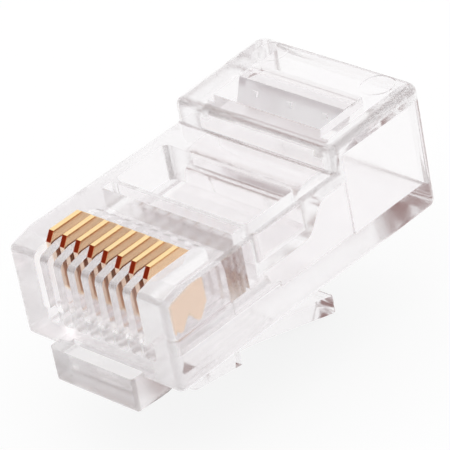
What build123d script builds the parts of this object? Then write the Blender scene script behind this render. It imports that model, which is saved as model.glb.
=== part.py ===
from build123d import *
import os
from math import cos, radians, sin, tan

# An 8-way modular plug, clear moulded housing, gold-plated contact blades.
# X runs across the plug, Y from the mating face to the cable entry, Z up towards the contacts.
# The origin is the middle of the mating face's lower edge, on the underside of the body.

# Body
body_width = 11.68
body_length = 20.60
deck_height = 5.90
brow_length = 1.30          # the top slopes down over this length to the mating face
brow_drop = 0.30
brow_radius = 0.45
corner_radius = 0.50
rear_corner_radius = 0.75
edge_radius = 0.25
foot_radius = 0.35          # lower edge of the mating face

# Collar over the cable entry
collar_length = 7.35
collar_rise = 1.50          # above the deck at its front
collar_lift = 0.25          # from its front to its rear
collar_rear_radius = 0.55
collar_foot_radius = 0.20

# Nose under the mating face, which carries the latch
nose_width = 6.17
nose_reach = 0.86
nose_drop = 1.62
nose_top = 0.55
nose_end = 2.25
nose_radius = 0.25

# Contacts and their slots
way_count = 8
way_pitch = 1.016
blade_thickness = 0.35
blade_front = 1.00
blade_back = 3.70
blade_top_end = 3.50        # the top edge slopes down from here
blade_heel = 4.20           # to the tip of a heel behind the blade's back
blade_heel_drop = 0.10      # below the deck
blade_heel_edge = 0.22
blade_stand = 0.55          # above the deck
blade_chamfer_run = 0.38
blade_chamfer_drop = 0.55
blade_notch_depth = 0.80
blade_prong_flat = 0.22
press_travel = 0.90         # how far the crimp tool drives a blade down
bite_gap = 0.45             # left under a driven blade's prongs
slot_clearance = 0.05       # each side of a blade
slot_back = 4.30            # at the deck
slot_back_low = 5.25        # where the slot's rear wall runs straight down
slot_bend_height = 4.10

# Wire channels and cable cavity
channel_floor = 1.25
channel_height = 1.20
channel_width = 0.86
channel_front = 0.75
channel_end = 8.80
channel_radius = 0.28
channel_lap = 0.05          # a slot is cut this far into the channel below it
rib_height = 0.35           # of the ribs between the wires, behind the slots
throat_height = 2.75
throat_rise_inset = 1.45    # from the end of its roof's rise to the cavity
throat_rise_length = 2.20
stop_height = 4.45
cavity_wall = 1.44          # each side of the cavity
cavity_rise = 0.30          # of its roof above the deck
throat_width = 8.20
entry_flare = 0.35

# Slit and recess in the deck behind the contacts; the slit opens into the throat
slit_start = 6.30
slit_width = 0.68
slit_length = 9.50
recess_wall = 0.28          # between the slit and the recess
recess_width = 9.60
recess_end = 11.25
recess_depth = 2.20
recess_radius = 0.45

# Jacket clamp: a wedge in a pocket of the collar, on a thin web at its rear edge
pocket_width = 7.80
pocket_length = 3.45
pocket_inset = 2.60         # behind the pocket
clamp_gap = 0.08
clamp_land = 1.40           # from the front edge of its flat top to the pocket's rear wall
clamp_face_angle = 68.0     # of its sloping front face, from level
clamp_reach = 0.40          # of its toe, below the cavity's roof
clamp_toe_width = 0.85
clamp_hinge_radius = 0.35
nub_count = 3
nub_pitch = 2.55
nub_width = 0.40
nub_length = 0.28
nub_height = 0.12
nub_drop = 0.62             # how far below the crest the nubs sit

# Latch: a wide shouldered arm that narrows to a finger lever
hinge_y = 2.62
hinge_z = -1.05
hinge_radius = 0.42
hinge_clearance = 0.05
shoulder_root_drop = 1.90
latch_angle = 16.8          # of the arm's upper face, downwards from level
latch_end = 15.68
shoulder_front = 3.55
shoulder_end = 6.70
shoulder_front_drop = 2.72
shoulder_end_drop = 3.18
lever_width = 3.25
lever_neck_width = 4.20
lever_neck_end = 9.50
lever_tip_radius = 0.40
lever_corner_radius = 0.30
lever_bend = 12.30          # the underside turns down more steeply from here
lever_bend_drop = 4.70
lever_end_drop = 5.66

# Round marks of the ejector pins on the collar
mark_radius = 0.95
mark_width = 0.07
mark_depth = 0.05
mark_place_x = 3.90
mark_inset = 1.30

collar_start = body_length - collar_length
collar_front_height = deck_height + collar_rise
collar_rear_height = collar_front_height + collar_lift
pocket_end = body_length - pocket_inset
cavity_start = pocket_end - pocket_length
cavity_width = body_width - 2 * cavity_wall
cavity_roof = deck_height + cavity_rise
channel_top = channel_floor + channel_height
throat_rise_end = cavity_start - throat_rise_inset
throat_rise_start = throat_rise_end - throat_rise_length
recess_start = slit_start + slit_width + recess_wall
slot_width = blade_thickness + 2 * slot_clearance
ways = [(i - (way_count - 1) / 2) * way_pitch for i in range(way_count)]
collar_slope = collar_lift / collar_length
over = 0.5                  # cutting shapes run this far past the face they break through


def collar_top(y):
    """Height of the collar's upper face at a distance from the mating face."""
    return collar_front_height + collar_slope * (y - collar_start)


# Housing: body, collar and nose, one moulding
with BuildPart() as housing:
    with BuildSketch(Plane.YZ.offset(-body_width / 2)):
        with BuildLine():
            Polyline(
                (0, 0),
                (0, deck_height - brow_drop),
                (brow_length, deck_height),
                (collar_start, deck_height),
                (collar_start, collar_front_height),
                (body_length, collar_rear_height),
                (body_length, 0),
                close=True,
            )
        make_face()
    extrude(amount=body_width)
    upright_edges = housing.edges().filter_by(Axis.Z).sort_by(Axis.Y)
    fillet(upright_edges[-2:], rear_corner_radius)
    fillet(upright_edges[:-2], corner_radius)
    collar_rear_edge = housing.edges().filter_by(Axis.X).group_by(Axis.Z)[-1]
    fillet(collar_rear_edge, collar_rear_radius)
    front_foot = housing.edges().filter_by(Axis.X).group_by(Axis.Z)[0].sort_by(Axis.Y)[0]
    fillet(front_foot, foot_radius)
    brow_edge = housing.edges().filter_by(Axis.X).filter_by_position(
        Axis.Z, deck_height - brow_drop - edge_radius, deck_height - edge_radius).sort_by(Axis.Y)[0]
    fillet(brow_edge, brow_radius)
    sides = housing.faces().sort_by(Axis.X)
    side_edges = (sides[0].edges() + sides[-1].edges()).filter_by(Axis.Z, reverse=True)
    fillet(side_edges, edge_radius)
    collar_foot = housing.edges().filter_by(Axis.X).filter_by_position(
        Axis.Y, collar_start - edge_radius, collar_start + edge_radius).sort_by(Axis.Z)[0]
    fillet(collar_foot, collar_foot_radius)

    # Nose, rounded at its foot
    with BuildSketch(Plane.YZ.offset(-nose_width / 2)):
        with BuildLine():
            Polyline(
                (-nose_reach, -nose_drop),
                (-nose_reach, nose_top),
                (over, nose_top),
                (nose_end, over),
                (nose_end, -nose_drop),
                close=True,
            )
        make_face()
    extrude(amount=nose_width)
    nose_foot = housing.faces().sort_by(Axis.Z)[0].edges()
    nose_corners = housing.faces().sort_by(Axis.Y)[0].edges().filter_by(Axis.Z)
    fillet(nose_foot + nose_corners, nose_radius)
    with BuildSketch(Plane.YZ.offset(-nose_width / 2 - over)):
        with Locations((hinge_y, hinge_z)):
            Circle(hinge_radius + hinge_clearance)
    extrude(amount=nose_width + 2 * over, mode=Mode.SUBTRACT)

    # Cable cavity, with its roof falling to one flat duct over the wires
    with BuildSketch(Plane.YZ.offset(-cavity_width / 2)):
        with BuildLine():
            Polyline(
                (cavity_start, channel_floor),
                (cavity_start, cavity_roof),
                (body_length + over, cavity_roof),
                (body_length + over, channel_floor),
                close=True,
            )
        make_face()
    extrude(amount=cavity_width, mode=Mode.SUBTRACT)
    with BuildSketch(Plane.YZ.offset(-throat_width / 2)):
        with BuildLine():
            Polyline(
                (cavity_start + over, channel_floor),
                (channel_end, channel_floor),
                (channel_end, channel_floor + rib_height),
                (slot_back_low, channel_floor + rib_height),
                (slot_back_low, channel_top),
                (slit_start, channel_top),
                (slit_start, throat_height),
                (throat_rise_start, throat_height),
            )
            Bezier(
                (throat_rise_start, throat_height),
                ((throat_rise_start + throat_rise_end) / 2, throat_height),
                ((throat_rise_start + throat_rise_end) / 2, stop_height),
                (throat_rise_end, stop_height),
            )
            Line((throat_rise_end, stop_height), (cavity_start + over, stop_height))
            Line((cavity_start + over, stop_height), (cavity_start + over, channel_floor))
        make_face()
    extrude(amount=throat_width, mode=Mode.SUBTRACT)
    entry_rim = housing.faces().sort_by(Axis.Y)[-1].inner_wires()[0].edges()
    chamfer(entry_rim, entry_flare)

    # Wire channels, one under each contact
    with BuildSketch(Plane.XZ.offset(-channel_end - over)):
        with GridLocations(way_pitch, 0, way_count, 1):
            with Locations((0, channel_floor + channel_height / 2)):
                RectangleRounded(channel_width, channel_height, channel_radius)
    extrude(amount=channel_end + over - channel_front, mode=Mode.SUBTRACT)

    # Contact slots, open at the deck and at the mating face
    with BuildSketch(*[Plane.YZ.offset(x - slot_width / 2) for x in ways]):
        with BuildLine():
            Polyline(
                (-over, channel_top - channel_lap),
                (-over, deck_height + over),
                (slot_back, deck_height + over),
                (slot_back, deck_height),
            )
            TangentArc((slot_back_low, slot_bend_height), (slot_back, deck_height), tangent=(0, 1))
            Polyline(
                (slot_back_low, slot_bend_height),
                (slot_back_low, channel_top - channel_lap),
                (-over, channel_top - channel_lap),
            )
        make_face()
    extrude(amount=slot_width, mode=Mode.SUBTRACT)

    # Slit and recess in the deck
    with BuildSketch(Plane.XY.offset(throat_height - channel_lap)):
        with Locations((0, slit_start + slit_width / 2)):
            Rectangle(slit_length, slit_width)
    extrude(amount=deck_height - throat_height + over, mode=Mode.SUBTRACT)
    with BuildSketch(Plane.XY.offset(deck_height - recess_depth)):
        with Locations((0, (recess_start + recess_end) / 2)):
            RectangleRounded(recess_width, recess_end - recess_start, recess_radius)
    extrude(amount=recess_depth + over, mode=Mode.SUBTRACT)

    # Pocket for the jacket clamp, open to the cavity below
    with BuildSketch(Plane.XY.offset(cavity_roof - over)):
        with Locations((0, (cavity_start + pocket_end) / 2)):
            Rectangle(pocket_width, pocket_end - cavity_start)
    extrude(amount=collar_rear_height - cavity_roof + 2 * over, mode=Mode.SUBTRACT)

    # Ejector pin marks
    mark_y = body_length - mark_inset
    with BuildSketch(Plane.XY.offset(collar_top(mark_y) - mark_depth)):
        with Locations((-mark_place_x, mark_y), (mark_place_x, mark_y)):
            Circle(mark_radius + mark_width / 2)
            Circle(mark_radius - mark_width / 2, mode=Mode.SUBTRACT)
    extrude(amount=over, mode=Mode.SUBTRACT)

# Latch: side outline, then trimmed to its outline from above
latch_fall = tan(radians(latch_angle))
arm_top = hinge_z + hinge_radius / cos(radians(latch_angle))


def latch_top(y):
    """Height of the latch's upper face at a distance from the mating face."""
    return arm_top - latch_fall * (y - hinge_y)


with BuildPart() as latch:
    with BuildSketch(Plane.YZ.offset(-nose_width / 2)):
        with BuildLine():
            Polyline(
                (hinge_y, -shoulder_root_drop),
                (hinge_y, latch_top(hinge_y)),
                (latch_end, latch_top(latch_end)),
                (latch_end, -lever_end_drop),
                (lever_bend, -lever_bend_drop),
                (shoulder_end, -shoulder_end_drop),
                (shoulder_front, -shoulder_front_drop),
            )
            TangentArc(
                (shoulder_front, -shoulder_front_drop),
                (hinge_y, -shoulder_root_drop),
                tangent=(shoulder_front - shoulder_end, shoulder_end_drop - shoulder_front_drop),
            )
        make_face()
        with Locations((hinge_y, hinge_z)):
            Circle(hinge_radius)
    extrude(amount=nose_width)
    tip_edges = latch.faces().sort_by(Axis.Y)[-1].edges().filter_by(Axis.X)
    fillet(tip_edges, lever_tip_radius)
    with BuildSketch(Plane.XY.offset(-lever_end_drop - over)):
        with BuildLine():
            Polyline(
                (0, hinge_y - hinge_radius - over),
                (nose_width / 2, hinge_y - hinge_radius - over),
                (nose_width / 2, shoulder_end),
                (lever_neck_width / 2, shoulder_end),
            )
            TangentArc(
                (lever_width / 2, lever_neck_end),
                (lever_neck_width / 2, shoulder_end),
                tangent=(0, -1),
            )
            Line((lever_width / 2, lever_neck_end), (lever_width / 2, latch_end - lever_corner_radius))
            RadiusArc(
                (lever_width / 2, latch_end - lever_corner_radius),
                (lever_width / 2 - lever_corner_radius, latch_end),
                lever_corner_radius,
            )
            Line((lever_width / 2 - lever_corner_radius, latch_end), (0, latch_end))
            mirror(about=Plane.YZ)
        make_face()
    extrude(amount=lever_end_drop + over, mode=Mode.INTERSECT)

# Jacket clamp, with a round rear edge that turns in the pocket
clamp_run = tan(radians(90 - clamp_face_angle))
clamp_crest = pocket_end - clamp_land
clamp_top = collar_top(clamp_crest)
clamp_toe_height = cavity_roof - clamp_reach
clamp_toe_y = clamp_crest - clamp_run * (clamp_top - clamp_toe_height)
clamp_hinge_y = pocket_end - clamp_gap - clamp_hinge_radius
clamp_hinge_z = clamp_top - clamp_hinge_radius
clamp_width = pocket_width - 2 * clamp_gap
nub_spot = (0, clamp_crest - clamp_run * nub_drop, clamp_top - nub_drop)
face_angle = radians(clamp_face_angle)
with BuildPart() as jacket_clamp:
    with BuildSketch(Plane.YZ.offset(-clamp_width / 2)):
        with BuildLine():
            Polyline(
                (clamp_toe_y, clamp_toe_height),
                (clamp_crest, clamp_top),
                (clamp_hinge_y, clamp_top),
                (clamp_hinge_y, clamp_hinge_z - clamp_hinge_radius),
                (clamp_toe_y + clamp_toe_width, clamp_toe_height),
                close=True,
            )
        make_face()
        with Locations((clamp_hinge_y, clamp_hinge_z)):
            Circle(clamp_hinge_radius)
    extrude(amount=clamp_width)
    with BuildSketch(Plane(origin=nub_spot, x_dir=(1, 0, 0), z_dir=(0, -sin(face_angle), cos(face_angle)))):
        with GridLocations(nub_pitch, 0, nub_count, 1):
            Rectangle(nub_width, nub_length)
    extrude(amount=nub_height)

# Contact blades
blade_top = deck_height + blade_stand
heel_height = deck_height - blade_heel_drop
heel_return = blade_heel - blade_back
blade_tip_height = channel_floor + bite_gap + press_travel
blade_notch_height = blade_tip_height + blade_notch_depth
notch_middle = (blade_front + blade_back) / 2
prong_front = blade_front + (notch_middle - blade_front) / 2
prong_back = blade_back - (blade_back - notch_middle) / 2
blades = []
for way, x in enumerate(ways):
    with BuildPart() as blade:
        with BuildSketch(Plane.YZ.offset(x - blade_thickness / 2)):
            with BuildLine():
                Polyline(
                    (blade_front + blade_chamfer_run, blade_top),
                    (blade_top_end, blade_top),
                    (blade_heel, heel_height),
                    (blade_heel, heel_height - blade_heel_edge),
                    (blade_back, heel_height - blade_heel_edge - heel_return),
                    (blade_back, blade_notch_height),
                    (prong_back + blade_prong_flat / 2, blade_tip_height),
                    (prong_back - blade_prong_flat / 2, blade_tip_height),
                    (notch_middle, blade_notch_height),
                    (prong_front + blade_prong_flat / 2, blade_tip_height),
                    (prong_front - blade_prong_flat / 2, blade_tip_height),
                    (blade_front, blade_notch_height),
                    (blade_front, blade_top - blade_chamfer_drop),
                    close=True,
                )
            make_face()
        extrude(amount=blade_thickness)
    blade.part.label = f"contact_{way + 1}"
    blades.append(blade.part)

housing.part.label = "housing"
latch.part.label = "latch"
jacket_clamp.part.label = "jacket_clamp"

os.makedirs("parts", exist_ok=True)
export_step(housing.part, "parts/housing.step")
export_step(latch.part, "parts/latch.step")
export_step(jacket_clamp.part, "parts/jacket_clamp.step")
for way, blade_part in enumerate(blades):
    export_step(blade_part, f"parts/contact_{way + 1}.step")
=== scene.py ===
from math import cos, radians, sin

import bmesh
import bpy
from bpy.props import FloatProperty, FloatVectorProperty, PointerProperty
from mathutils import Matrix, Vector


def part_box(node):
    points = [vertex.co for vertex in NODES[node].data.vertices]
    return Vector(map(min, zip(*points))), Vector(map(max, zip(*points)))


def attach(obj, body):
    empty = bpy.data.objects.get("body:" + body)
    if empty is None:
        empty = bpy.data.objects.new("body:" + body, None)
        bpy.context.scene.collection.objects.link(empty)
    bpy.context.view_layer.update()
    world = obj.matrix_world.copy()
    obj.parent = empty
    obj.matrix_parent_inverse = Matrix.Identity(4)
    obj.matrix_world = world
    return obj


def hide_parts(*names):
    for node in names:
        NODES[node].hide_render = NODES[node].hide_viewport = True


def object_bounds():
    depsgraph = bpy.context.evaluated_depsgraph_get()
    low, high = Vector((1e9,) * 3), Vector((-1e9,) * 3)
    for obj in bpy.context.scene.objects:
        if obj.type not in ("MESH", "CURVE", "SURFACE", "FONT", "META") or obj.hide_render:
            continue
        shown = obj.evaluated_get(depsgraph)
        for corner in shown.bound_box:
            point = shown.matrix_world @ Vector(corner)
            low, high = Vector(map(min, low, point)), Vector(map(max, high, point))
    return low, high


bl_info = {
    "name": "Modular Plug Looks",
    "version": (1, 0, 0),
    "blender": (4, 5, 0),
    "location": "3D View > Sidebar > Modular Plug",
    "description": "Dresses the clear modular plug and sets its studio",
    "category": "Object",
}

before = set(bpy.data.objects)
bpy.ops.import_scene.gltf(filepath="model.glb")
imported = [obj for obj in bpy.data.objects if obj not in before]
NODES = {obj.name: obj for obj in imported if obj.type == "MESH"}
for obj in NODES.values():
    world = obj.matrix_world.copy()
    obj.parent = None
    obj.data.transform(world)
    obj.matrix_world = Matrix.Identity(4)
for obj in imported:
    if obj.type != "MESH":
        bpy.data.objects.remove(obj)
cad_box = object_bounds()

MM = 0.001
CONTACTS = sorted(name for name in NODES if name.startswith("contact_"))
LOWEST = cad_box[0][2]
CONTACT_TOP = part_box(CONTACTS[0])[1][2]

# Welding, shading and rounding of the copies
WELD = 0.0001 * MM
FLAT_ANGLE = radians(0.3)
CURVED_ANGLE = radians(3)
CREASE_ANGLE = radians(38)
ARC_STEP = radians(8)
MOST_CUTS = 4
STAMP_EDGE = 0.03 * MM
STAMP_SEGMENTS = 2

# Which way the contacts' front slope and the clamp's slope face, and how closely a face must match
SHEARED_WAY = Vector((0.0, -0.8227, 0.5684))
CLAMP_WAY = Vector((0.0, -0.9272, 0.3746))
FACING = 0.99
FORWARD = 0.5

# Where the clear plastic has haze or texture, and how much; the nose's front faces also take the haze tint
# as painted shade
NOSE_TOP = 0.55 * MM
NOSE_END = 2.30 * MM
WIRES_FROM = Vector((-4.3, 4.0, 1.2)) * MM
WIRES_TO = Vector((4.3, 12.6, 2.8)) * MM
LATCH_HAZE = 0.25
# Painted shade: the share of the haze tint painted on the nose's front faces
NOSE_PAINTED_SHADE = 0.1
NOSE_TEXTURE = 0.7
GUIDE_TEXTURE = 0.35

# The plastic's slow waves, its uneven gloss and the light that its shadow lets through
WAVE_SCALE = 180.0
WAVE_DEPTH = 0.2 * MM
HAZE_SCALE = 900.0
HAZE_SPREAD = (0.5, 1.5)
SHADOW_LIGHT = 0.92

# The plating's fine drawn lines and blotches, and the heights at which its sides change colour: painted
# paler below the deck as painted light, and darker next to the top edge as painted shade
LINE_SCALE = 9000.0
LINE_STRETCH = (1.0, 0.08, 1.0)
LINE_STRENGTH = 0.15
LINE_DEPTH = 0.02 * MM
LINE_SPREAD = (0.7, 1.3)
BLOTCH_SCALE = 1500.0
BLOTCH_SHARE = 0.3
GILT_RANGE = (CONTACT_TOP - 1.15 * MM, CONTACT_TOP - 0.55 * MM)
# Painted shade: the band next to the top edge where the sides are painted darker
SHADED_LIP_RANGE = (CONTACT_TOP - 0.13 * MM, CONTACT_TOP - 0.03 * MM)

# The photograph's camera, solved for a 450 by 450 pixel frame
PHOTO_PIXELS = 450
FOCAL_PIXELS = 3634.2
SENSOR_WIDTH = 36.0
CAMERA_AZIMUTH = 48.874
CAMERA_ELEVATION = 31.708
CAMERA_ROLL = -11.272
CAMERA_DISTANCE = 194.26 * MM
CAMERA_AIM = Vector((-0.158, 10.280, 2.629)) * MM
CLIP_START = 1 * MM
CLIP_END = 10.0

# The room that the plug reflects: two dimmer regions, with their colours and angles in degrees
DIM_FRONT = (0.64, 0.58, 0.59)
FRONT_ELEVATION = 42
FRONT_EDGE = 88
FRONT_CORE = 70
DARK_LEFT = (0.22, 0.09, 0.08)
LEFT_TURN = 90
LEFT_ELEVATION = 33
LEFT_EDGE = 42
LEFT_CORE = 28

# The floor, the lamps and the number of times that light may bounce
FLOOR_GREY = 0.9
FLOOR_ROUGHNESS = 0.9
FLOOR_WHITENESS = 0.85
KEY_FROM = (230, 80)
KEY_SIZE = 0.25
FILL_FROM = (110, 50)
FILL_SIZE = 0.2
LAMP_DISTANCE = 0.35
MOST_BOUNCES = 80


class PlugPlasticSettings(bpy.types.PropertyGroup):
    """The clear moulding's look."""
    tint: FloatVectorProperty(
        name="Tint", description="Colour of the clear plastic", subtype="COLOR",
        default=(0.984, 0.970, 0.976), min=0.0, max=1.0)
    # Also the painted shade on the nose's front faces
    haze_and_shade_tint: FloatVectorProperty(
        name="Haze tint", description="Colour of the plastic where it is hazy", subtype="COLOR",
        default=(0.70, 0.675, 0.688), min=0.0, max=1.0)
    texture: FloatProperty(
        name="Texture", description="Roughness added where the mould is textured", default=0.18,
        min=0.0, max=1.0)
    refraction: FloatProperty(
        name="Refraction", description="Index of refraction of the plastic", default=1.585, min=1.0, max=2.0)
    gloss_loss: FloatProperty(
        name="Gloss loss", description="Roughness of the moulded surface", default=0.12, min=0.0, max=1.0)
    waviness: FloatProperty(
        name="Waviness", description="Strength of the mould's slow waves", default=0.04, min=0.0, max=1.0)


class PlugGoldSettings(bpy.types.PropertyGroup):
    """The contacts' look."""
    plate: FloatVectorProperty(
        name="Plate", description="Colour of the gold plating on the stamped edges", subtype="COLOR",
        default=(1.0, 0.76, 0.39), min=0.0, max=1.0)
    gilt: FloatVectorProperty(
        name="Gilt", description="Colour of the plating on the flat sides above the deck", subtype="COLOR",
        default=(0.94, 0.67, 0.43), min=0.0, max=1.0)
    # Painted shade: a dark colour standing for the neighbouring blades' reflection next to the top edge
    shaded_lip: FloatVectorProperty(
        name="Lip", description="Colour of the plating on the flat sides next to the top edge",
        subtype="COLOR", default=(0.72, 0.34, 0.11), min=0.0, max=1.0)
    # Painted light: the sides below the deck are painted paler, standing for the white light seen through
    # the plastic
    flat: FloatVectorProperty(
        name="Flat", description="Colour of the thinner plating on the flat sides below the deck",
        subtype="COLOR", default=(0.90, 0.70, 0.54), min=0.0, max=1.0)
    cut: FloatVectorProperty(
        name="Cut", description="Colour of the bare metal on the sheared front slope", subtype="COLOR",
        default=(0.85, 0.17, 0.05), min=0.0, max=1.0)
    # Painted light: the front and rear faces are painted a pale pink-white standing for the white light they
    # pick up
    edge: FloatVectorProperty(
        name="Edge", description="Colour of the plating on the front and rear edges", subtype="COLOR",
        default=(0.95, 0.78, 0.64), min=0.0, max=1.0)
    gloss_loss: FloatProperty(
        name="Gloss loss", description="Roughness of the plated faces", default=0.22, min=0.0, max=1.0)


class PlugStageSettings(bpy.types.PropertyGroup):
    """The studio's sizes."""
    floor_size: FloatProperty(
        name="Floor", description="Side of the square floor", default=0.6, unit="LENGTH")
    key_power: FloatProperty(
        name="Key", description="Power of the large lamp above the plug", default=0.15, unit="POWER")
    fill_power: FloatProperty(
        name="Fill", description="Power of the lamp at the right", default=0.1, unit="POWER")


def new_material(name):
    """An empty node material with its output, its node tree and its Principled shader."""
    material = bpy.data.materials.new(name)
    material.use_nodes = True
    tree = material.node_tree
    tree.nodes.clear()
    output = tree.nodes.new("ShaderNodeOutputMaterial")
    shader = tree.nodes.new("ShaderNodeBsdfPrincipled")
    tree.links.new(shader.outputs["BSDF"], output.inputs["Surface"])
    return material, tree, shader, output


def noise(tree, vector, scale, detail):
    """A noise texture over Object coordinates."""
    node = tree.nodes.new("ShaderNodeTexNoise")
    node.inputs["Scale"].default_value = scale
    node.inputs["Detail"].default_value = detail
    tree.links.new(vector, node.inputs["Vector"])
    return node.outputs["Fac"]


def spread(tree, value, low, high, start=0.0, end=1.0):
    """Maps a value, a 0 to 1 mask unless its range is given, to another range."""
    node = tree.nodes.new("ShaderNodeMapRange")
    node.inputs["From Min"].default_value = start
    node.inputs["From Max"].default_value = end
    node.inputs["To Min"].default_value = low
    node.inputs["To Max"].default_value = high
    tree.links.new(value, node.inputs["Value"])
    return node.outputs["Result"]


def multiply_add(tree, value, factor, addend):
    """A value times a plain factor, plus another value."""
    node = tree.nodes.new("ShaderNodeMath")
    node.operation = "MULTIPLY_ADD"
    node.inputs[1].default_value = factor
    tree.links.new(value, node.inputs[0])
    tree.links.new(addend, node.inputs[2])
    return node.outputs[0]


def blend_shaders(tree, share, first, second):
    """Mixes one shader towards another by a share."""
    mix = tree.nodes.new("ShaderNodeMixShader")
    tree.links.new(share, mix.inputs["Fac"])
    tree.links.new(first, mix.inputs[1])
    tree.links.new(second, mix.inputs[2])
    return mix.outputs["Shader"]


def bent_rays(tree, path):
    """A mask of the rays that come by way of a reflection or through the plastic."""
    node = tree.nodes.new("ShaderNodeMath")
    node.operation = "MAXIMUM"
    tree.links.new(path.outputs["Is Glossy Ray"], node.inputs[0])
    tree.links.new(path.outputs["Is Transmission Ray"], node.inputs[1])
    return node.outputs[0]


def add_bump(tree, shader, height, strength, depth):
    """Makes a shader's surface uneven by a height."""
    bump = tree.nodes.new("ShaderNodeBump")
    bump.inputs["Strength"].default_value = strength
    bump.inputs["Distance"].default_value = depth
    tree.links.new(height, bump.inputs["Height"])
    tree.links.new(bump.outputs["Normal"], shader.inputs["Normal"])


def object_place(tree):
    """Object coordinates of the surface."""
    return tree.nodes.new("ShaderNodeTexCoord").outputs["Object"]


def face_mask(tree, name):
    """A mask that a piece's faces carry as an attribute."""
    node = tree.nodes.new("ShaderNodeAttribute")
    node.attribute_name = name
    return node.outputs["Fac"]


def tinted(tree, colour, other, mask):
    """Mixes one colour towards another by a mask; each is plain or comes from a socket."""
    mix = tree.nodes.new("ShaderNodeMix")
    mix.data_type = "RGBA"
    for name, value in (("A", colour), ("B", other)):
        if isinstance(value, bpy.types.NodeSocket):
            tree.links.new(value, mix.inputs[name])
        else:
            mix.inputs[name].default_value = (*value, 1.0)
    tree.links.new(mask, mix.inputs["Factor"])
    return mix.outputs["Result"]


def clear_plastic(settings):
    """Clear moulded polycarbonate: glossy, with slow mould waves, and open to lamps."""
    material, tree, shader, output = new_material("clear_moulding")
    place = object_place(tree)
    shader.inputs["Transmission Weight"].default_value = 1.0
    shader.inputs["IOR"].default_value = settings.refraction
    # The haze tint is mixed in where the plastic has haze, and on the nose's front faces as painted shade
    tint = tinted(tree, settings.tint, settings.haze_and_shade_tint, face_mask(tree, "haze_and_shade"))
    tree.links.new(tint, shader.inputs["Base Color"])
    haze = noise(tree, place, HAZE_SCALE, 2.0)
    uneven = spread(tree, haze, *(settings.gloss_loss * share for share in HAZE_SPREAD))
    roughness = multiply_add(tree, face_mask(tree, "textured"), settings.texture, uneven)
    tree.links.new(roughness, shader.inputs["Roughness"])
    waves = noise(tree, place, WAVE_SCALE, 1.0)
    add_bump(tree, shader, waves, settings.waviness, WAVE_DEPTH)
    clear = tree.nodes.new("ShaderNodeBsdfTransparent")
    clear.inputs["Color"].default_value = (SHADOW_LIGHT, SHADOW_LIGHT, SHADOW_LIGHT, 1.0)
    shadow = tree.nodes.new("ShaderNodeLightPath").outputs["Is Shadow Ray"]
    blended = blend_shaders(tree, shadow, shader.outputs["BSDF"], clear.outputs["BSDF"])
    tree.links.new(blended, output.inputs["Surface"])
    return material


def gold_plate(settings):
    """Gold-plated stamped metal: bright edges, paler sides and a bare front slope, with drawn lines; painted
    light makes the sides below the deck and the front and rear faces paler, and painted shade darkens the
    sides next to the top edge.
    """
    material, tree, shader, _ = new_material("gold_plating")
    place = object_place(tree)
    shader.inputs["Metallic"].default_value = 1.0
    stretch = tree.nodes.new("ShaderNodeMapping")
    stretch.inputs["Scale"].default_value = LINE_STRETCH
    tree.links.new(place, stretch.inputs["Vector"])
    lines = noise(tree, stretch.outputs["Vector"], LINE_SCALE, 3.0)
    blotch = noise(tree, place, BLOTCH_SCALE, 2.0)
    height = tree.nodes.new("ShaderNodeSeparateXYZ")
    tree.links.new(place, height.inputs["Vector"])
    # The sides' colour by height: painted paler below the deck as painted light, then gilt, then darker next
    # to the top edge as painted shade
    gilt = spread(tree, height.outputs["Z"], 0.0, 1.0, *GILT_RANGE)
    # Painted shade: the sides turn darker next to the top edge
    shaded_lip = spread(tree, height.outputs["Z"], 0.0, 1.0, *SHADED_LIP_RANGE)
    side = tinted(tree, tinted(tree, settings.flat, settings.gilt, gilt), settings.shaded_lip, shaded_lip)
    plated = tinted(tree, settings.plate, settings.gilt, spread(tree, blotch, 0.0, BLOTCH_SHARE))
    sided = tinted(tree, plated, side, face_mask(tree, "flat_side"))
    # Painted light: the front and rear faces are painted pale
    edges_painted_paler = tinted(tree, sided, settings.edge, face_mask(tree, "upright_edge"))
    bared = tinted(tree, edges_painted_paler, settings.cut, face_mask(tree, "sheared_slope"))
    tree.links.new(bared, shader.inputs["Base Color"])
    rough = spread(tree, lines, *(settings.gloss_loss * share for share in LINE_SPREAD))
    tree.links.new(rough, shader.inputs["Roughness"])
    add_bump(tree, shader, lines, LINE_STRENGTH, LINE_DEPTH)
    return material


def link(thing):
    """Puts a new object in the scene."""
    bpy.context.scene.collection.objects.link(thing)
    return thing


def corner_normals(areas, start):
    """Area-weighted normals at a vertex for each face round it, shared across smooth edges."""
    normals = {}
    for seed in start.link_faces:
        if seed in normals:
            continue
        fan = [seed]
        queue = [seed]
        while queue:
            for edge in queue.pop().edges:
                if start not in edge.verts or not edge.smooth:
                    continue
                for other in edge.link_faces:
                    if other not in fan:
                        fan.append(other)
                        queue.append(other)
        total = sum((face.normal * areas[face] for face in fan), Vector())
        for face in fan:
            normals[face] = total.normalized()
    return normals


def arc_points(start, end, start_normal, end_normal, cuts):
    """Points between an edge's ends, on the curve that leaves each end square to its normal."""
    chord = end - start
    leave = start + (chord - start_normal * chord.dot(start_normal)) / 3
    reach = end - (chord - end_normal * chord.dot(end_normal)) / 3
    points = []
    for k in range(1, cuts + 1):
        t = k / (cuts + 1)
        s = 1 - t
        points.append(start * s ** 3 + leave * 3 * s * s * t + reach * 3 * s * t * t + end * t ** 3)
    return points


def arc_plan(edge, normals):
    """The points that turn an edge across a rounded strip into an arc, or none for a straight edge."""
    start, end = edge.verts
    best = (ARC_STEP, None, None)
    for face in edge.link_faces:
        first, last = normals[start][face], normals[end][face]
        turn = first.angle(last, 0.0)
        if turn > best[0]:
            best = (turn, first, last)
    if best[1] is None:
        return []
    cuts = min(int(best[0] / ARC_STEP), MOST_CUTS)
    return arc_points(start.co.copy(), end.co.copy(), best[1], best[2], cuts)


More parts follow.
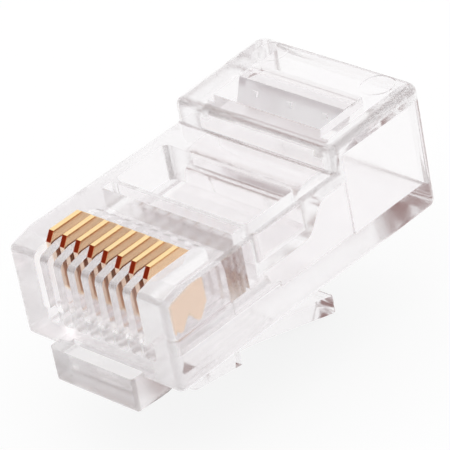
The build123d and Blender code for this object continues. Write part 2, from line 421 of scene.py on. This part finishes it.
def crossed_faces(shape, plans, ends, normals):
    """The four-sided facets that two arcs cross, and the other bent faces that arcs touch."""
    strips = []
    curved = []
    for face in shape.faces:
        split = [edge for edge in face.edges if edge in plans]
        if not split:
            continue
        turns = [normals[vert][face].angle(face.normal, 0.0) for vert in face.verts]
        opposite = len(face.edges) == 4 and len(split) == 2 and not set(ends[split[0]]) & set(ends[split[1]])
        if opposite and len(plans[split[0]]) == len(plans[split[1]]):
            start = ends[split[0]][0]
            rail = next(edge for edge in face.edges if start in edge.verts and edge not in plans)
            strips.append((face, split[0], split[1], rail.other_vert(start) == ends[split[1]][0]))
        elif max(turns) > CURVED_ANGLE:
            curved.append(face)
    return strips, curved


def bend_edges(plans, ends):
    """Splits each planned edge at its points, and gives its new vertices in order."""
    added = {}
    for edge, points in plans.items():
        rest = edge
        added[edge] = []
        for point in points:
            rest, fresh = bmesh.utils.edge_split(rest, ends[edge][1], 0.5)
            fresh.co = point
            added[edge].append(fresh)
    return added


def round_strips(shape):
    """Splits the facets of rounded strips along true arcs, so that they bend light as moulded edges do."""
    areas = {face: face.calc_area() for face in shape.faces}
    normals = {vert: corner_normals(areas, vert) for vert in shape.verts}
    plans = {edge: arc_plan(edge, normals) for edge in shape.edges}
    plans = {edge: points for edge, points in plans.items() if points}
    ends = {edge: tuple(edge.verts) for edge in plans}
    strips, curved = crossed_faces(shape, plans, ends, normals)
    added = bend_edges(plans, ends)
    for face, one, other, same_way in strips:
        facing = added[other] if same_way else added[other][::-1]
        rest = face
        for near, far in zip(added[one], facing):
            piece = bmesh.utils.face_split(rest, near, far)[0]
            rest = piece if ends[one][1] in piece.verts else rest
    bmesh.ops.triangulate(shape, faces=curved)


def surface_shares(name, face):
    """How much haze tint and how much texture a clear face gets, by the part of the plug that it belongs to;
    on the nose's front faces the haze tint is painted shade.
    """
    if name == "latch":
        return LATCH_HAZE, 0.0
    if name == "jacket_clamp":
        slope = float(face.normal.dot(CLAMP_WAY) > FACING)
        return slope, slope
    middle = face.calc_center_median()
    if middle.z < NOSE_TOP and middle.y < NOSE_END:
        # The nose's front faces get painted shade
        return NOSE_PAINTED_SHADE * (face.normal.y < -FORWARD), NOSE_TEXTURE
    guides = all(low < place < high for low, place, high in zip(WIRES_FROM, middle, WIRES_TO))
    return 0.0, GUIDE_TEXTURE * guides


def welded_copy(name):
    """A copy of a CAD piece's mesh, and its shape with the loose triangles joined."""
    mesh = NODES[name].data.copy()
    mesh.name = name + "_skin"
    shape = bmesh.new()
    shape.from_mesh(mesh)
    bmesh.ops.remove_doubles(shape, verts=shape.verts, dist=WELD)
    return mesh, shape


def finished_copy(mesh, shape, material):
    """The object of a reworked copy, in one material, without the normals that the loose triangles had."""
    shape.to_mesh(mesh)
    shape.free()
    mesh.attributes.remove(mesh.attributes["custom_normal"])
    mesh.materials.clear()
    mesh.materials.append(material)
    return link(bpy.data.objects.new(mesh.name, mesh))


def moulded_skin(name):
    """A copy of a clear CAD piece whose rounded edges shade smoothly, which stands for that piece."""
    mesh, shape = welded_copy(name)
    bmesh.ops.dissolve_limit(shape, verts=shape.verts, edges=shape.edges, angle_limit=FLAT_ANGLE,
                             delimit={"NORMAL"})
    for edge in shape.edges:
        edge.smooth = edge.calc_face_angle(0.0) < CREASE_ANGLE
    shape.normal_update()
    round_strips(shape)
    # This share carries the haze and the painted shade of the nose's front faces
    haze_and_shade = shape.faces.layers.float.new("haze_and_shade")
    textured = shape.faces.layers.float.new("textured")
    for face in shape.faces:
        face.smooth = True
        face[haze_and_shade], face[textured] = surface_shares(name, face)
    skin = finished_copy(mesh, shape, plastic_material())
    weighted = skin.modifiers.new("even_shading", "WEIGHTED_NORMAL")
    weighted.keep_sharp = True
    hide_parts(name)
    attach(skin, name)


def stamped_skin(name, material):
    """A copy of a contact with its stamped edges eased, which stands for that contact."""
    mesh, shape = welded_copy(name)
    bmesh.ops.dissolve_limit(shape, verts=shape.verts, edges=shape.edges, angle_limit=FLAT_ANGLE)
    flat = shape.faces.layers.float.new("flat_side")
    upright = shape.faces.layers.float.new("upright_edge")
    sheared = shape.faces.layers.float.new("sheared_slope")
    for face in shape.faces:
        face.smooth = False
        face[flat] = float(abs(face.normal.x) > FACING)
        face[upright] = float(abs(face.normal.y) > FACING)
        face[sheared] = float(face.normal.dot(SHEARED_WAY) > FACING)
    skin = finished_copy(mesh, shape, material)
    eased = skin.modifiers.new("eased_edges", "BEVEL")
    eased.width = STAMP_EDGE
    eased.segments = STAMP_SEGMENTS
    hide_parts(name)
    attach(skin, name)


def plastic_material():
    """The one clear plastic, made when it is first asked for."""
    made = bpy.data.materials.get("clear_moulding")
    return made or clear_plastic(bpy.context.scene.plug_plastic)


def way_towards(towards):
    """A unit vector that points from the origin towards an azimuth and elevation, in degrees."""
    azimuth, elevation = (radians(a) for a in towards)
    return Vector((sin(azimuth) * cos(elevation), -cos(azimuth) * cos(elevation), sin(elevation)))


class PLUG_OT_housing(bpy.types.Operator):
    """Dress the housing in clear plastic"""
    bl_idname = "plug.housing"
    bl_label = "Housing"

    def execute(self, context):
        moulded_skin("housing")
        return {"FINISHED"}


class PLUG_OT_latch(bpy.types.Operator):
    """Dress the latch in clear plastic"""
    bl_idname = "plug.latch"
    bl_label = "Latch"

    def execute(self, context):
        moulded_skin("latch")
        return {"FINISHED"}


class PLUG_OT_jacket_clamp(bpy.types.Operator):
    """Dress the jacket clamp in clear plastic"""
    bl_idname = "plug.jacket_clamp"
    bl_label = "Jacket Clamp"

    def execute(self, context):
        moulded_skin("jacket_clamp")
        return {"FINISHED"}


class PLUG_OT_contacts(bpy.types.Operator):
    """Dress the contacts in gold plating"""
    bl_idname = "plug.contacts"
    bl_label = "Contacts"

    def execute(self, context):
        material = gold_plate(context.scene.plug_gold)
        for name in CONTACTS:
            stamped_skin(name, material)
        return {"FINISHED"}


def make_floor(settings):
    """A pale floor that is white to the camera and through the plastic, and keeps a soft shadow."""
    mesh = bpy.data.meshes.new("floor")
    shape = bmesh.new()
    bmesh.ops.create_grid(shape, x_segments=1, y_segments=1, size=settings.floor_size / 2,
                          matrix=Matrix.Translation((0, 0, LOWEST)))
    shape.to_mesh(mesh)
    shape.free()
    floor = link(bpy.data.objects.new("floor", mesh))
    material, tree, shader, output = new_material("pale_floor")
    shader.inputs["Base Color"].default_value = (FLOOR_GREY, FLOOR_GREY, FLOOR_GREY, 1.0)
    shader.inputs["Roughness"].default_value = FLOOR_ROUGHNESS
    shader.inputs["Specular IOR Level"].default_value = 0.0
    white = tree.nodes.new("ShaderNodeEmission")
    path = tree.nodes.new("ShaderNodeLightPath")
    share = multiply_add(tree, path.outputs["Is Camera Ray"], FLOOR_WHITENESS, bent_rays(tree, path))
    blended = blend_shaders(tree, share, shader.outputs["BSDF"], white.outputs["Emission"])
    tree.links.new(blended, output.inputs["Surface"])
    mesh.materials.append(material)


def lobe(tree, way, towards, edge, core):
    """A mask of the room that is 1 within one angle of a direction and falls to 0 at a wider one."""
    near = tree.nodes.new("ShaderNodeVectorMath")
    near.operation = "DOT_PRODUCT"
    near.inputs[1].default_value = way_towards(towards)
    tree.links.new(way, near.inputs[0])
    return spread(tree, near.outputs["Value"], 0.0, 1.0, cos(radians(edge)), cos(radians(core)))


def make_world():
    """A white room for the camera, with a dim front and a darker left for reflections and the plastic."""
    world = bpy.data.worlds.new("studio")
    bpy.context.scene.world = world
    world.use_nodes = True
    tree = world.node_tree
    tree.nodes.clear()
    output = tree.nodes.new("ShaderNodeOutputWorld")
    room = tree.nodes.new("ShaderNodeBackground")
    white = tree.nodes.new("ShaderNodeBackground")
    white.inputs["Color"].default_value = (1.0, 1.0, 1.0, 1.0)
    path = tree.nodes.new("ShaderNodeLightPath")
    way = tree.nodes.new("ShaderNodeTexCoord").outputs["Generated"]
    front = lobe(tree, way, (CAMERA_AZIMUTH, FRONT_ELEVATION), FRONT_EDGE, FRONT_CORE)
    left = lobe(tree, way, (CAMERA_AZIMUTH - LEFT_TURN, LEFT_ELEVATION), LEFT_EDGE, LEFT_CORE)
    walls = tinted(tree, tinted(tree, (1.0, 1.0, 1.0), DIM_FRONT, front), DARK_LEFT, left)
    tree.links.new(walls, room.inputs["Color"])
    seen = bent_rays(tree, path)
    blended = blend_shaders(tree, seen, white.outputs["Background"], room.outputs["Background"])
    tree.links.new(blended, output.inputs["Surface"])


def add_lamp(name, towards, size, power):
    """A soft square lamp that shines on the plug from a direction."""
    lamp = bpy.data.lights.new(name, "AREA")
    lamp.size = size
    lamp.energy = power
    holder = link(bpy.data.objects.new(name, lamp))
    spot = way_towards(towards) * LAMP_DISTANCE + CAMERA_AIM
    turn = (CAMERA_AIM - spot).to_track_quat("-Z", "Y").to_matrix().to_4x4()
    holder.matrix_world = Matrix.Translation(spot) @ turn


def add_camera():
    """The camera at the photograph's viewing angle."""
    lens = bpy.data.cameras.new("camera")
    lens.sensor_width = SENSOR_WIDTH
    lens.lens = FOCAL_PIXELS / PHOTO_PIXELS * SENSOR_WIDTH
    lens.clip_start = CLIP_START
    lens.clip_end = CLIP_END
    camera = link(bpy.data.objects.new("camera", lens))
    out = way_towards((CAMERA_AZIMUTH, CAMERA_ELEVATION))
    turn = (-out).to_track_quat("-Z", "Y").to_matrix() @ Matrix.Rotation(radians(CAMERA_ROLL), 3, "Z")
    camera.matrix_world = Matrix.Translation(CAMERA_AIM + out * CAMERA_DISTANCE) @ turn.to_4x4()
    bpy.context.scene.camera = camera


class PLUG_OT_stage(bpy.types.Operator):
    """Set the floor, the white surroundings, the lamps and the camera"""
    bl_idname = "plug.stage"
    bl_label = "Stage"

    def execute(self, context):
        settings = context.scene.plug_stage
        make_floor(settings)
        make_world()
        add_lamp("key", KEY_FROM, KEY_SIZE, settings.key_power)
        add_lamp("fill", FILL_FROM, FILL_SIZE, settings.fill_power)
        add_camera()
        scene = context.scene
        scene.view_settings.view_transform = "Standard"
        scene.cycles.max_bounces = MOST_BOUNCES
        scene.cycles.transmission_bounces = MOST_BOUNCES
        scene.cycles.glossy_bounces = MOST_BOUNCES
        scene.cycles.caustics_refractive = False
        scene.cycles.caustics_reflective = False
        return {"FINISHED"}


class PLUG_PT_panel(bpy.types.Panel):
    """Lists the plug's operators and settings"""
    bl_label = "Modular Plug"
    bl_idname = "PLUG_PT_panel"
    bl_space_type = "VIEW_3D"
    bl_region_type = "UI"
    bl_category = "Modular Plug"

    def draw(self, context):
        for operator in OPERATORS:
            self.layout.operator(operator.bl_idname)
        for group in ("plug_plastic", "plug_gold", "plug_stage"):
            settings = getattr(context.scene, group)
            for name in settings.__annotations__:
                self.layout.prop(settings, name)


OPERATORS = (PLUG_OT_housing, PLUG_OT_latch, PLUG_OT_jacket_clamp, PLUG_OT_contacts, PLUG_OT_stage)
CLASSES = (PlugPlasticSettings, PlugGoldSettings, PlugStageSettings, *OPERATORS, PLUG_PT_panel)


def register():
    for cls in CLASSES:
        bpy.utils.register_class(cls)
    bpy.types.Scene.plug_plastic = PointerProperty(type=PlugPlasticSettings)
    bpy.types.Scene.plug_gold = PointerProperty(type=PlugGoldSettings)
    bpy.types.Scene.plug_stage = PointerProperty(type=PlugStageSettings)


def unregister():
    del bpy.types.Scene.plug_stage
    del bpy.types.Scene.plug_gold
    del bpy.types.Scene.plug_plastic
    for cls in reversed(CLASSES):
        bpy.utils.unregister_class(cls)


def main():
    register()
    bpy.ops.plug.housing()
    bpy.ops.plug.latch()
    bpy.ops.plug.jacket_clamp()
    bpy.ops.plug.contacts()
    bpy.ops.plug.stage()


if __name__ == "__main__":
    main()
